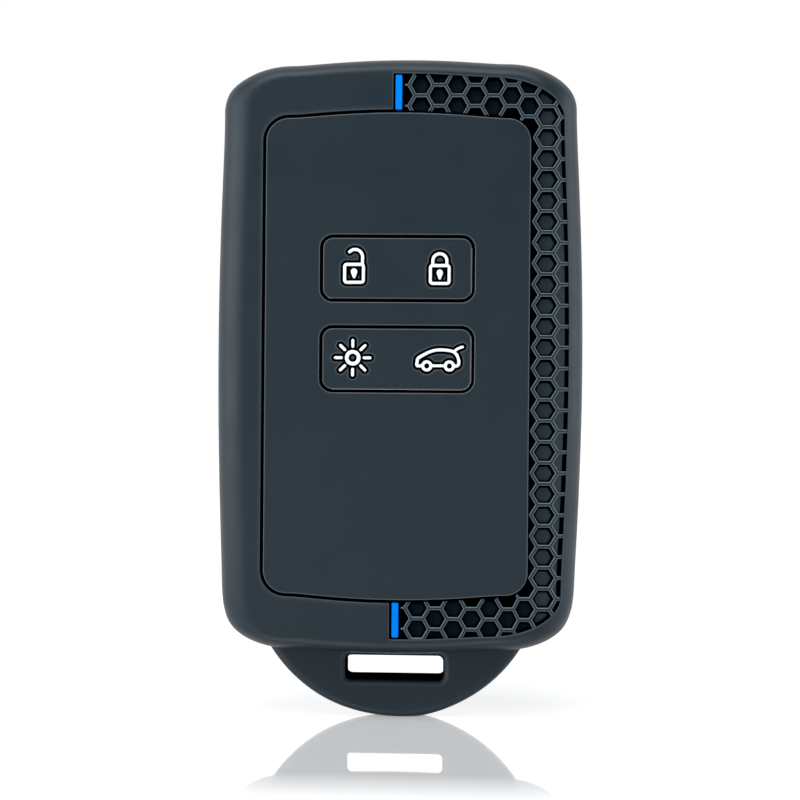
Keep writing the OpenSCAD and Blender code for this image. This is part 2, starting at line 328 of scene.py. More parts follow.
def piece(name, patches, finish, body="cover", nodes=(), crease=35):
    """Joins patches into one closed mesh in metres, and hangs it on its body."""
    starts = np.cumsum([0] + [len(points) for points, _, _ in patches])
    tables = [table + start for start, (_, tables, _) in zip(starts, patches) for table in tables]
    points = np.concatenate([points for points, _, _ in patches]) + (0, 0, MIDDLE_Z)
    tones = np.concatenate([tones for _, _, tones in patches])
    mesh = bpy.data.meshes.new(name)
    mesh.from_pydata(points * MM, [], [face for table in tables for face in table.tolist()])
    mesh.attributes.new("tone", "FLOAT", "POINT").data.foreach_set("value", tones)
    tidy = bmesh.new()
    tidy.from_mesh(mesh)
    bmesh.ops.remove_doubles(tidy, verts=tidy.verts, dist=MERGE_DIST)
    bmesh.ops.dissolve_degenerate(tidy, edges=tidy.edges, dist=THIN_DIST)
    bmesh.ops.recalc_face_normals(tidy, faces=tidy.faces)
    open_edges = sum(1 for e in tidy.edges if not e.is_manifold)
    tidy.to_mesh(mesh)
    tidy.free()
    mesh.shade_smooth()
    mesh.set_sharp_from_angle(angle=math.radians(crease))
    mesh.materials.append(finish)
    # Faces deep in a hollow take a copy of the finish without gloss: painted shade.
    if finish.name in painted_shade_finishes:
        mesh.materials.append(painted_shade_finishes[finish.name])
        mesh.polygons.foreach_set("material_index", in_hollow(mesh).astype(np.int32))
    made = bpy.data.objects.new(name, mesh)
    bpy.context.scene.collection.objects.link(made)
    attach(made, body)
    if nodes:
        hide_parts(*nodes)
    print(f"{name}: {len(mesh.polygons)} faces, {open_edges} open edges")


# %% [markdown]
# ## Finishes
#
# A finish is a small tree of shader nodes. Setting up each node takes four or five
# lines by hand, so a helper adds a node, sets its inputs to numbers or links them to the
# outputs of other nodes, and a few more helpers make the kinds that come up again.

# %% Helpers that wire nodes
class Wiring:
    """The nodes of one material or world. Each method adds a node and links its inputs."""

    def __init__(self, owner):
        owner.use_nodes = True
        self.nodes, self.links = owner.node_tree.nodes, owner.node_tree.links
        self.nodes.clear()

    def add(self, kind, inputs=(), **settings):
        """A node with its settings. Each input is a number, a colour or another node's output."""
        node = self.nodes.new("ShaderNode" + kind)
        for name, value in settings.items():
            setattr(node, name, value)
        for name, value in dict(inputs).items():
            if isinstance(value, bpy.types.NodeSocket):
                self.links.new(value, node.inputs[name])
            else:
                node.inputs[name].default_value = value
        return node

    def ranged(self, value, source, target=(0, 1), way="LINEAR"):
        """Maps a value from one range to another, straight or as a smooth step."""
        names = ("From Min", "From Max", "To Min", "To Max")
        inputs = dict(zip(names, (*source, *target)), Value=value)
        return self.add("MapRange", inputs, interpolation_type=way).outputs["Result"]

    def calc(self, operation, *values):
        """A sum, product or other Math node over one or two values."""
        return self.add("Math", enumerate(values), operation=operation).outputs[0]

    def noise(self, place, size, detail):
        """Noise whose blobs are about size metres across."""
        inputs = {"Scale": 1 / size, "Detail": detail, "Vector": place}
        return self.add("TexNoise", inputs).outputs["Fac"]

    def blend(self, share, a, b, data_type="RGBA"):
        """Mixes two colours or numbers, all of a at share 0 and all of b at share 1."""
        return self.add("Mix", {"Factor": share, "A": a, "B": b}, data_type=data_type).outputs["Result"]


# %% [markdown]
# Moulded silicone is matt and a little uneven. Its colour comes from the mass, and its
# gloss changes slightly from place to place where the mould was polished by hand. Each
# finish mixes two close colours with a slow noise, lets another noise move the
# roughness, and adds a very fine grain as bump. All of them read Object coordinates, in
# metres, so the grain has one size on every piece.

# %% The silicone finish
NOISE_RANGE = (0.3, 0.7)                               # the middle of a noise, where most of it lies
CLOUD, GLOSS_CLOUD, GRAIN = 0.011, 0.006, 0.00016      # metres
SILICONE_IOR = 1.41


def silicone(name, dark, light, rough, specular, grain_depth, hollow=(0, 0, 0), edge=None):
    """Matt moulded rubber: two close colours, uneven gloss and a fine grain. Where the mesh's
    tone is under 0, painted shade darkens a hollow, and over 0 a painted highlight lightens an edge."""
    material = bpy.data.materials.new(name)
    tree = Wiring(material)
    place = tree.add("TexCoord").outputs["Object"]
    tone = tree.add("Attribute", attribute_name="tone").outputs["Fac"]
    colour = tree.blend(tree.ranged(tree.noise(place, CLOUD, 3), NOISE_RANGE), (*dark, 1), (*light, 1))
    # Painted shade where the tone is under 0, and a painted highlight where it is over 0.
    colour = tree.blend(tree.ranged(tone, (0, -1)), colour, (*hollow, 1))
    colour = tree.blend(tree.ranged(tone, (0, 1)), colour, (*(edge or light), 1))
    gloss = tree.ranged(tree.noise(place, GLOSS_CLOUD, 2), NOISE_RANGE, rough)
    grain = {"Strength": 1.0, "Distance": grain_depth, "Height": tree.noise(place, GRAIN, 2)}
    shader = tree.add("BsdfPrincipled", {
        "Base Color": colour, "Roughness": gloss, "Normal": tree.add("Bump", grain).outputs["Normal"],
        "Specular IOR Level": specular, "IOR": SILICONE_IOR})
    tree.add("OutputMaterial", {"Surface": shader.outputs["BSDF"]})
    return material


# %% [markdown]
# The ribs of the honeycomb look paler than the body, because their narrow tops catch
# the light. The blue of the stripes is coloured through, and the signs are white.

# %% The finishes of the cover
SLATE = ((0.0077, 0.0169, 0.0244), (0.0091, 0.0189, 0.0269))
SLATE_SHADE_AND_HIGHLIGHT = ((0.0006, 0.0008, 0.0012), (0.088, 0.110, 0.127))      # painted shade in a hollow, painted highlight on an edge
RIB = ((0.0122, 0.0255, 0.0355), (0.0152, 0.0298, 0.0410))
# The ribs' painted shade in a hollow and painted highlight on an edge.
RIB_SHADE_AND_HIGHLIGHT = ((0.0010, 0.0015, 0.0022), (0.138, 0.184, 0.216))
DEEP_ROUGH = (0.90, 0.96)
slate = silicone("slate_silicone_skin", *SLATE, (0.40, 0.48), 0.42, 4e-6, *SLATE_SHADE_AND_HIGHLIGHT)
rib_slate = silicone("rib_silicone_skin", *RIB, (0.42, 0.52), 0.45, 3e-6, *RIB_SHADE_AND_HIGHLIGHT)
# Copies of the finishes without gloss, for the faces in a hollow: painted shade.
painted_shade_finishes = {
    slate.name: silicone("slate_silicone_painted_shade", *SLATE, DEEP_ROUGH, 0.0, 4e-6, *SLATE_SHADE_AND_HIGHLIGHT),
    rib_slate.name: silicone("rib_silicone_painted_shade", *RIB, DEEP_ROUGH, 0.0, 3e-6, *RIB_SHADE_AND_HIGHLIGHT),
}
# The last colour of the blue is its painted shade, on the stripes' walls.
blue = silicone("blue_silicone_skin", (0.0, 0.197, 0.82), (0.0, 0.213, 0.85), (0.45, 0.55), 0.03, 3e-6,
                (0.0, 0.10, 0.45))
white = silicone("white_sign", (0.93, 0.93, 0.93), (0.96, 0.96, 0.96), (0.45, 0.55), 0.3, 1e-6)
print("finishes:", [m.name for m in (slate, rib_slate, blue, white)])

# %% [markdown]
# ## The opening in the front
#
# The panel and the honeycomb lie in one opening. On the honeycomb side it follows the
# recess, and on the other side the groove round the panel. A short straight wall beside
# each blue stripe joins the two. The loop has as many points as the body's outline, so
# a skin can run from one to the other.

# %% Outlines of the panel, the recess and the opening
PANEL = (42.8, 78.75, 3.7, 0.9)      # width, height, corner radius, bow of the ends
PANEL_SPEC = (PANEL[0] / 2, PANEL[1] / 2, PANEL[2], PANEL[2], 0, PANEL[3])
PANEL_GROOVE = 0.5
RECESS = (27.75, 45.7, 12.0, 6.6, 1.0, 0.6)
END_WALL_X = -0.85


def panel_outline(grow):
    """The panel's outline, grown by a distance."""
    return outline(*grown(PANEL_SPEC, grow))


def end_z(x, half_w, half_h, rx, rz, side, end):
    """Height of a bowed end at x."""
    return half_h - end * bow(abs(x) / (half_w - side - rx))


def opening_outline():
    """Right half of the recess, a wall down to the panel's groove, left half of the groove."""
    seat_spec = grown(PANEL_SPEC, PANEL_GROOVE)
    recess, seat = outline(*RECESS), outline(*seat_spec)
    first = SIDE_STEPS + CORNER_STEPS + 1
    corner_x = RECESS[0] - RECESS[4] - RECESS[2]
    right_x = corner_x + (END_WALL_X - corner_x) * np.linspace(0, 1, len(END_RIGHT) + 1)[1:]
    wall = np.linspace(0, 1, len(END_WALL) + 1)[1:]
    wall_z = end_z(END_WALL_X, *RECESS) * (1 - wall) + end_z(END_WALL_X, *seat_spec) * wall
    span = -seat_spec[0] + seat_spec[2] - END_WALL_X
    left_x = END_WALL_X + span * np.linspace(0, 1, len(END_LEFT) + 2)[1:-1]
    left_half = seat[first + len(END_SHARE):len(seat) // 2 + 1]
    x = np.concatenate([recess[:first, 0], right_x, 0 * wall + END_WALL_X, left_x, left_half[:, 0]])
    z = np.concatenate([recess[:first, 1], end_z(right_x, *RECESS), wall_z, end_z(left_x, *seat_spec),
                        left_half[:, 1]])
    return close_loop(x, z)


opening = opening_outline()
print("opening:", opening.shape, "body:", body_ring.shape)

# %% [markdown]
# ## The shell
#
# The real shell is one moulding, and so is this skin: it starts under the panel, climbs
# the wall of the opening, rolls over a small rounded edge, runs out over the soft front
# edge, round the side and the back, through the window and back inside to the room for
# the card. All of these are rings of the same length in one stack. A quarter circle of
# rings makes each rounded edge. Two flat caps with the pads' holes close it.

# %% Rounded edges as rings
EDGE, PLATE_EDGE = 0.22, 0.14                  # soft edges of the opening, and of plates
PAD_SIZE, PAD_GROOVE, PAD_R = (24.0, 9.8), 0.55, 1.6
PAD_Z = {"upper": 14.2, "lower": -0.45}


def edge_arc(corner, before, after, steps=5):
    """Quadratic curve from before to after that the corner pulls at: (1-s)^2, 2s(1-s), s^2."""
    s = np.linspace(0, 1, steps + 1)
    return [(1 - a)**2 * before + 2 * a * (1 - a) * corner + a**2 * after for a in s]


def front_ring(loop, depth=0.0):
    """A loop laid on the soft front of the body, or at a depth under it."""
    return ring(loop, FRONT_Y + front_depth(loop[:, 0], loop[:, 1]) + depth)


def pad_loop(grow, z=0.0):
    """Outline of a press pad, grown by a distance and lifted to height z."""
    return rounded(PAD_SIZE[0] + 2 * grow, PAD_SIZE[1] + 2 * grow, PAD_R + grow) + (0, z)


# %% Rings of the front, the side and the back
floor_edge = panel_outline(-1.0)
floor_rings = between(front_ring(floor_edge, RECESS_D), front_ring(opening, RECESS_D), np.linspace(0, 1, 9))
floor_rings = [front_ring(r[:, [0, 2]], RECESS_D) for r in floor_rings]
wall_top = front_ring(opening) + (0, EDGE, 0)
lip_edge = edge_arc(front_ring(opening), wall_top, front_ring(offset(opening, EDGE)))
run = 1 - (1 - np.linspace(0, 1, 31)[1:])**2   # rings crowd towards the body's outline
outward = between(ring(offset(opening, EDGE), 0), ring(body_ring, 0), run)
front_rings = [front_ring(r[:, [0, 2]]) for r in outward[:-1]] + [ring(body_ring, FRONT_Y + FRONT_ROUND)]
turn = quarter(10)
side_rings = [ring(body_ring, y) for y in np.linspace(FRONT_Y + FRONT_ROUND, BACK_Y - BACK_ROUND, 9)[1:]]
back_rings = [ring(body_outline(BACK_ROUND * (1 - math.cos(t))), BACK_Y - BACK_ROUND * (1 - math.sin(t)))
              for t in turn[1:]]
print("front rows:", len(front_rings), "side rows:", len(side_rings), "back rows:", len(back_rings))

# %% [markdown]
# The window in the back has a plain outline, so its loop is the same kind as the rest,
# with no bow. The lip round it has soft edges on both faces, because a sharp silicone
# edge would tear when the card is pushed in.

# %% The window, the lip and the room for the card
WINDOW_SPEC = (21.5, 39.25, 7.0, 7.0, 0, 0)
LIP_EDGE = 0.6


def window_ring(grow, y):
    """The window's outline at a depth, grown by a distance."""
    return ring(outline(*grown(WINDOW_SPEC, grow)), y)


lip_y, pocket_y = BACK_Y - LIP_WALL, FRONT_Y + FRONT_WALL
window_back = edge_arc(window_ring(0, BACK_Y), window_ring(LIP_EDGE, BACK_Y),
                       window_ring(0, BACK_Y - LIP_EDGE))
window_in = edge_arc(window_ring(0, lip_y), window_ring(0, lip_y + LIP_EDGE), window_ring(LIP_EDGE, lip_y))
back_flat = between(back_rings[-1], window_back[0], np.linspace(0, 1, 9)[1:-1])
pocket_back = [ring(body_outline(SIDE_WALL + LIP_ROUND * (1 - math.cos(t))),
                    lip_y - LIP_ROUND * (1 - math.sin(t))) for t in turn[::-2]]
lip_flat = between(window_in[-1], pocket_back[0], np.linspace(0, 1, 7)[1:-1])
pocket_front = [ring(body_outline(SIDE_WALL + (SIDE_ROUND - SIDE_WALL) * (1 - math.cos(t)),
                                  SIDE_WALL + (END_ROUND - SIDE_WALL) * (1 - math.cos(t))),
                     pocket_y + (FRONT_ROUND - FRONT_WALL) * (1 - math.sin(t))) for t in turn]
pocket_side = between(pocket_back[-1], pocket_front[0], np.linspace(0, 1, 7)[1:-1])
print("rows of the window:", len(window_back + window_in), "and of the pocket:",
      len(pocket_back + pocket_side + pocket_front))

# %% The shell's skin
shell_rings = (floor_rings + lip_edge + front_rings + side_rings + back_rings + back_flat + window_back
               + window_in + lip_flat + pocket_back + pocket_side + pocket_front)
wall_shade_edge_highlight = [-1, -0.6, 0, 0.35, 0.45, 0.15]   # painted shade down the wall, then a painted highlight on the edge
# Painted shade on the floor of the recess, and on the cap and hole walls under the panel.
shell_tones = np.concatenate([-np.ones(len(floor_rings)), wall_shade_edge_highlight,
                              np.zeros(len(shell_rings) - len(floor_rings) - len(wall_shade_edge_highlight))])
holes = {k: pad_loop(PAD_GROOVE, z) for k, z in PAD_Z.items()}
shell_patches = [skin(shell_rings, shell_tones),
                 cap([floor_edge, *holes.values()], FRONT_Y + PANEL_T, -1),
                 cap([pocket_front[-1][:, [0, 2]], *holes.values()], pocket_y)]
shell_patches += [skin([ring(h, FRONT_Y + PANEL_T), ring(h, pocket_y)], [-1, 0]) for h in holes.values()]
piece("shell_skin", shell_patches, slate, nodes=("front_shell", "side_band", "back_lip"))

# %% [markdown]
# ## The strap tab
#
# The tab is a slice of a disc with a slot. Seen in section it is a flat bar with soft
# edges, so it is made as a ring doughnut: lines run out from the middle of the slot, and
# each carries one section from the slot's wall over the front face, round the rim and
# over the back face. The edge round the slot is rolled much softer than the others,
# because a strap pulls there.

# %% Lines out from the slot
TAB_R, TAB_HALF, TAB_ROUND, TAB_TOP = 24.35, 2.75, 1.6, 11.9
TAB_X = -0.17                         # the tab lies a little left of the body's middle
TAB_FLAT = 0.12                       # how much of the disc the flat tip takes off
TIP_SHIFT, TIP_FADE = 1.1, 0.8        # the tip is drawn to the honeycomb side, fading upwards
SLOT = (15.95, 4.2, 0.9, 7.95)        # width, height, corner radius, height over the tip
SLOT_ROUND = {-1: 1.1, 1: 0.4}        # soft edge round the slot in front and behind
SLOT_RISE = {-1: 0.3, 1: 0.75}        # how far the slot's lower wall rises there
SLOT_STEP = 0.2                       # longest gap between two points of the slot's outline


def slot_loop(grow, rise=0.0):
    """The slot's outline in the tab's own heights, grown by a distance, with extra points on
    its straight sides. Its lower half is drawn up by the rise, as the draft of a mould does."""
    w, h, r, z = SLOT
    corners = rounded(w + 2 * grow, h + 2 * grow, r + grow, 10)
    ends = np.roll(corners, -1, 0)
    base = rounded(w, h, r, 10)
    parts = np.maximum(1, np.linalg.norm(np.roll(base, -1, 0) - base, axis=1) / SLOT_STEP).astype(int)
    index = np.repeat(np.arange(len(corners)), parts)
    step = np.concatenate([np.arange(n) / n for n in parts])[:, None]
    loop = corners[index] + (ends[index] - corners[index]) * step
    loop[:, 1] += rise * np.clip(-loop[:, 1] / (h / 2), 0, 1)
    return loop + (0, z)


slot_rays = slot_loop(0) - (0, SLOT[3])
slot_rays /= np.linalg.norm(slot_rays, axis=1)[:, None]


def rim_loop(draw_in):
    """Where each ray from the slot's middle meets the disc, or the tab's hidden top edge:
    the positive root of |p + k*ray - centre| = radius. The tip is cut flat at the floor, and
    drawn to the honeycomb side by TIP_SHIFT * exp(-z / TIP_FADE)."""
    radius = TAB_R - draw_in
    start = np.array([0, SLOT[3] - TAB_R + TAB_FLAT])
    along = slot_rays @ start
    far = -along + np.sqrt(along**2 - (start @ start - radius**2))
    up = np.maximum(slot_rays[:, 1], 1e-9)
    far = np.minimum(far, (TAB_TOP - SLOT[3]) / up)
    loop = slot_rays * far[:, None] + (0, SLOT[3])
    loop[:, 1] = np.maximum(loop[:, 1], 0)
    loop[:, 0] += TIP_SHIFT * np.exp(-loop[:, 1] / TIP_FADE)
    return loop


print("rays of the tab:", len(slot_rays))

# %% Faces of the tab
def tab_face(sign):
    """Rings from the slot's wall out to the rim, on one face of the tab."""
    t = quarter(8)
    soft, rise = SLOT_ROUND[sign], SLOT_RISE[sign]
    roll = [ring(slot_loop(soft * (1 - math.cos(a)), rise), sign * (TAB_HALF - soft * (1 - math.sin(a))))
            for a in t]
    rim = [ring(rim_loop(TAB_ROUND * (1 - math.sin(a))), sign * (TAB_HALF - TAB_ROUND * (1 - math.cos(a))))
           for a in t]
    return roll + between(roll[-1], rim[0], np.linspace(0, 1, 9)[1:-1]) + rim


front_face, back_face = tab_face(-1), tab_face(1)
slot_shade_tones = [-1, -0.95, -0.75, -0.5, -0.25, 0.0, 0.15, 0.2]   # painted shade on the slot's wall, out to a painted highlight at its edge
face_tones = np.concatenate([slot_shade_tones, np.zeros(len(front_face) - len(slot_shade_tones))])
tab_points, tab_faces, tab_tones = skin(front_face + back_face[::-1],
                                        np.concatenate([face_tones, face_tones[::-1]]), closed=True)
piece("tab_skin", [(tab_points + (TAB_X, 0, -MIDDLE_Z), tab_faces, tab_tones)], slate,
      nodes=("strap_tab",))

# %% [markdown]
# ## Plates with rounded edges
#
# The panel, the pads and the stripes are plates. A plate has an outer loop and perhaps
# holes, a flat front and back, and a small rounding where the front meets the walls. One
# extra ring just inside the rounding keeps the flat face flat under smooth shading.

# %% The plate
LEDGE = 0.08                                   # from the rounding in to the extra ring
EDGE_STEPS = 5
EDGE_HIGHLIGHT_TONES = 0.9 * np.sin(np.linspace(0.5, 2.9, EDGE_STEPS + 1))   # painted highlight over a rounded edge


def rolled_edge(loop, way, edge, y_front, y_back, shares):
    """The extra ring's loop, and the rings over a rounding and down the wall. The edge lies
    inside the loop (way -1) or outside it (way 1): edge * (1 - sin a) from it, and
    edge * (1 - cos a) deep."""
    ledge = offset(loop, way * (edge + LEDGE))
    rings = [ring(ledge, y_front)]
    rings += [ring(offset(loop, way * edge * (1 - math.sin(a))), y_front + edge * (1 - math.cos(a)))
              for a in quarter(EDGE_STEPS)]
    return ledge, rings + between(rings[-1], ring(loop, y_back), shares)


def plate_patches(outer, inner_loops, y_front, y_back, edge, highlight_tones):
    """Front cap, rounded edges, walls and back cap of a plate with holes. The rounded edges get a
    painted highlight, and the walls are painted darker as they go down, as shade."""
    patches, front_loops = [], []
    for loop, way in [(outer, -1)] + [(h, 1) for h in inner_loops]:
        ledge, rings = rolled_edge(loop, way, edge, y_front, y_back, [0.1, 1])
        # Painted highlight over the rounding, painted shade down the wall.
        patches.append(skin(rings, [0, *highlight_tones, -1, -1]))
        front_loops.append(ledge)
    return patches + [cap(front_loops, y_front), cap([outer, *inner_loops], y_back)]


panel_patches = plate_patches(panel_outline(0), list(holes.values()), FRONT_Y, FRONT_Y + PANEL_T,
                              PLATE_EDGE, EDGE_HIGHLIGHT_TONES)
piece("centre_panel", panel_patches, slate, nodes=("front_panel",))

# %% [markdown]
# Behind the groove round each pad lies a web, half a millimetre thick, that lets the pad
# sink. It is a flat ring, so two caps and two walls make it. The blue stripes are small
# plates with a plain edge, let into the recess at the ends of the honeycomb.

# %% Thin webs round the pads
WEB_T, WEB_GAP = 0.5, 0.02
for side, z in PAD_Z.items():
    web_loops = [pad_loop(PAD_GROOVE, z), pad_loop(WEB_GAP, z)]
    # The web's front and the walls of its gap are painted dark as shade.
    flat = [cap(web_loops, pocket_y - WEB_T, -1), cap(web_loops, pocket_y)]
    walls = [skin([ring(a, pocket_y - WEB_T), ring(a, pocket_y)], [-1, 0]) for a in web_loops]
    piece(f"{side}_web_ring", flat + walls, slate, nodes=(f"{side}_pad_web",))

# %% Blue stripes
STRIPE = (1.08, 5.62, 0.25)                    # width, height, corner radius
STRIPE_PLACES = {"top": (0.02, 42.7), "bottom": (0.08, -42.65)}
STRIPE_TOP, STRIPE_FOOT, STRIPE_EDGE = 0.15, RECESS_D + 0.05, 0.12   # depths, and the rounding
for side, place in STRIPE_PLACES.items():
    # The stripes get no painted highlight on their edges, but their walls get the painted shade.
    bar = plate_patches(rounded(*STRIPE, 8) + place, [], FRONT_Y + STRIPE_TOP, FRONT_Y + STRIPE_FOOT,
                        STRIPE_EDGE, 0 * EDGE_HIGHLIGHT_TONES)
    piece(f"{side}_blue_bar", bar, blue, nodes=(f"{side}_stripe",))

# %% [markdown]
# ## The honeycomb
#
# The ribs form a net of six sided cells. Modelling one cell and repeating it with an
# array would leave the net flat and its border ragged. Instead the net is drawn flat as
# a set of lines, a triangulation cuts all the lines against each other, and only the
# triangles that a formula finds on a rib are kept. Then each point is lifted to the
# body's soft front, so the net follows the curve.

# %% Cells of the net
PITCH, RIB_W, RIB_DROP, CHAMFER = 3.382, 0.54, 0.12, 0.13
COLUMN_STEP = PITCH * math.sqrt(3) / 2
GRILLE_GAP, END_GAP = 0.3, 0.36                # from the panel's sides and ends to the ribs
NET_SHIFT = (0.17, -0.06)
OUTER_APOTHEM, HOLE_APOTHEM = (PITCH + RIB_W) / 2, (PITCH - RIB_W) / 2
LONG_COLUMN_X = PANEL[0] / 2 + GRILLE_GAP + 2 * OUTER_APOTHEM / math.sqrt(3)
SEAT_TOP = PANEL[1] / 2 + PANEL_GROOVE

column, row = np.meshgrid(np.arange(-7, 2), np.arange(-15, 16), indexing="ij")
cells = np.column_stack([(LONG_COLUMN_X + column * COLUMN_STEP).ravel(),
                         ((row + np.where(column % 2 == 0, 0.5, 0.0)) * PITCH).ravel()]) + NET_SHIFT
keep = (abs(cells[:, 1]) < BODY[1] / 2) & ((column.ravel() >= 0) | (abs(cells[:, 1]) > SEAT_TOP))
cells = cells[keep]
print("cells:", len(cells))

# %% [markdown]
# Two distances describe the net. One is measured to the middle of the nearest cell, in
# a way that is constant on a hexagon. The other is measured in from the outline of the
# recess or of the panel. Everything else, such as the ribs' chamfer and the gutter round a
# cell's floor, painted black as shade, is a simple function of these two.

# %% Hexagons and distances
HEX_STEPS = 3


def hexagons(apothem):
    """Corner points of all cells at one distance from their middles, each side in steps."""
    a = np.radians(60 * np.arange(6))
    corner = np.column_stack([np.cos(a), np.sin(a)]) * apothem * 2 / math.sqrt(3)
    nxt = np.roll(corner, -1, 0)
    s = np.arange(HEX_STEPS)[None, :, None] / HEX_STEPS
    ring_points = (corner[:, None] + (nxt - corner)[:, None] * s).reshape(-1, 2)
    return [c + ring_points for c in cells]


def cell_distance(p):
    """Smallest distance from each point to a cell's middle, measured to the flats of its
    hexagon: the larger of |dz| and |dx|*sqrt(3)/2 + |dz|/2."""
    best = np.full(len(p), 1e9)
    for c in cells:
        dx, dz = abs(p[:, 0] - c[0]), abs(p[:, 1] - c[1])
        best = np.minimum(best, np.maximum(dz, dx * math.sqrt(3) / 2 + dz / 2))
    return best


def nearest_cell(p):
    """Number of the cell whose middle is nearest to each point."""
    return np.argmin(np.hypot(p[:, None, 0] - cells[:, 0], p[:, None, 1] - cells[:, 1]), axis=1)


def inset_of(p, spec, way=1, most=3.0):
    """Distance from an outline, inwards (way 1) or outwards (way -1), found by halving: the
    outline drawn in by it passes through the point."""
    low, high = np.zeros(len(p)), np.full(len(p), most)
    for _ in range(24):
        i = (low + high) / 2
        within = share_of(*p.T, *grown(spec, -way * i)) <= 1
        deeper = within if way == 1 else ~within
        low, high = np.where(deeper, i, low), np.where(deeper, high, i)
    return low


print("points of a hexagon:", 6 * HEX_STEPS)

# %% [markdown]
# Where the net runs out past its last corners, short free ends of ribs stand alone. Each
# is a bar with half round ends, drawn in its own direction.

# %% Free ends of ribs
LEVEL_END = (0.1, -0.52, 0.13)                 # start and end in X from the last corner, half width
CORNER_END = (-0.28, 0.42, 0.24)               # run in X, run towards the middle in Z, half width
COLUMN_X = LONG_COLUMN_X + NET_SHIFT[0]
SAME_COLUMN = 0.1
left_x = cells[:, 0].min() - PITCH / math.sqrt(3)
last_column = cells[abs(cells[:, 0] - cells[:, 0].min()) < SAME_COLUMN]
FREE_ENDS = [((left_x + LEVEL_END[0], z), (left_x + LEVEL_END[1], z), LEVEL_END[2])
             for z in last_column[:, 1]]
inner_rows = cells[abs(cells[:, 0] - (COLUMN_X - COLUMN_STEP)) < SAME_COLUMN][:, 1]
for z in (inner_rows[inner_rows > 0].min(), inner_rows[inner_rows < 0].max()):
    corner = np.array([COLUMN_X - COLUMN_STEP - PITCH / math.sqrt(3) / 2, z - math.copysign(PITCH / 2, z)])
    FREE_ENDS.append((corner, corner + (CORNER_END[0], math.copysign(CORNER_END[1], -z)), CORNER_END[2]))


def end_loops():
    """Outline of each free end: a bar with half round ends, turned into its direction."""
    loops = []
    for start, stop, half in FREE_ENDS:
        start, stop = np.array(start), np.array(stop)
        length = np.linalg.norm(stop - start)
        c, q = (stop - start) / length
        bar = rounded(length + 2 * half, 2 * half, half * 0.999, 4)
        loops.append((start + stop) / 2 + bar @ np.array([[c, q], [-q, c]]))
    return loops


def end_depth(p):
    """How deep a point lies inside a free end: half width less the distance to its middle line."""
    best = np.full(len(p), -1e9)
    for start, stop, half in FREE_ENDS:
        start, span = np.array(start), np.array(stop) - np.array(start)
        s = np.clip((p - start) @ span / (span @ span), 0, 1)
        best = np.maximum(best, half - np.linalg.norm(p - start - s[:, None] * span, axis=1))
    return best


print("free ends:", len(FREE_ENDS))

# %% [markdown]
# The ribs stop short of the panel and run a little into the wall of the recess. A few
# level ribs of the full pattern aren't there on the real cover, so a second test takes
# them out.

# %% Where a rib stands
RIM_LAP, END_CLEAR = 0.3, 0.06                 # into the recess's wall, and from panel to free ends
NO_RIBS_X, NO_RIBS_TOP, NO_RIBS_LOW = 17.5, 45.2, 39.6


def rib_depth(p):
    """How far a point lies inside the ribs: the smaller of its distances to a rib's two sides."""
    d = cell_distance(p)
    return np.minimum(d - HOLE_APOTHEM, OUTER_APOTHEM - d)


def left_out(p):
    """True on the level ribs that the cover lacks: under the top rim, and beside the panel's
    ends. A rib is level where |dz| from the nearest cell's middle is over sqrt(3)*|dx|."""
    x, z = p.T
    dx, dz = abs(p - cells[nearest_cell(p)]).T
    return (dz > math.sqrt(3) * dx) & (x < NO_RIBS_X) & ((z > NO_RIBS_TOP) | (abs(z) < NO_RIBS_LOW))


def on_rib(p):
    """True where a rib stands: between two cells' holes, off the panel and in the recess."""
    x, z = p.T
    ribs = (rib_depth(p) > 0) & ~left_out(p) & (share_of(x, z, *grown(PANEL_SPEC, GRILLE_GAP, END_GAP)) > 1)
    ends = (end_depth(p) > 0) & (share_of(x, z, *grown(PANEL_SPEC, END_CLEAR)) > 1)
    return (ribs | ends) & (share_of(x, z, *grown(RECESS, RIM_LAP)) < 1) & (x > END_WALL_X)


def rib_drop(p):
    """Depth of a rib's top under the front: it falls by the chamfer towards both sides."""
    depth = np.maximum(rib_depth(p), end_depth(p))
    return RIB_DROP + CHAMFER * np.clip(1 - depth / CHAMFER, 0, 1)


def rib_shade_and_highlight(p):
    """Painted highlights along both sides of a rib, and painted shade in its middle."""
    depth = np.maximum(rib_depth(p), end_depth(p))
    return np.interp(depth, [0, CHAMFER / 2, CHAMFER, RIB_W / 2], [0.8, 1, -0.1, -0.4])


# %% [markdown]
# A slab turns such a test into a solid plate. Its top and bottom are the kept triangles
# on two surfaces, and it gets a wall on each side that only one triangle has. The long
# column's cells are drawn out sideways a little, because the real net is stretched there.

# %% Slabs over the kept triangles
COLUMN_SPREAD, COLUMN_REACH = 0.14, 1.9        # sideways spread, reached this far from the middle
COLUMN_LEAN, LEAN_HEIGHT = 0.10, 40            # lean to the left, doubled at this depth below
SPREAD_X, SPREAD_FADE = 18.5, 3                # both set in from this X over this width


def spread_column(p):
    """Draws the long column's cells out sideways by up to COLUMN_SPREAD, fading out to its left."""
    x, z = p.T
    near = np.clip((x - SPREAD_X) / SPREAD_FADE, 0, 1)
    share = np.clip((x - COLUMN_X) / COLUMN_REACH, -1, 1) * near
    lean = COLUMN_LEAN * (1 - z / LEAN_HEIGHT) * near
    return np.column_stack([x + COLUMN_SPREAD * share - lean, z])


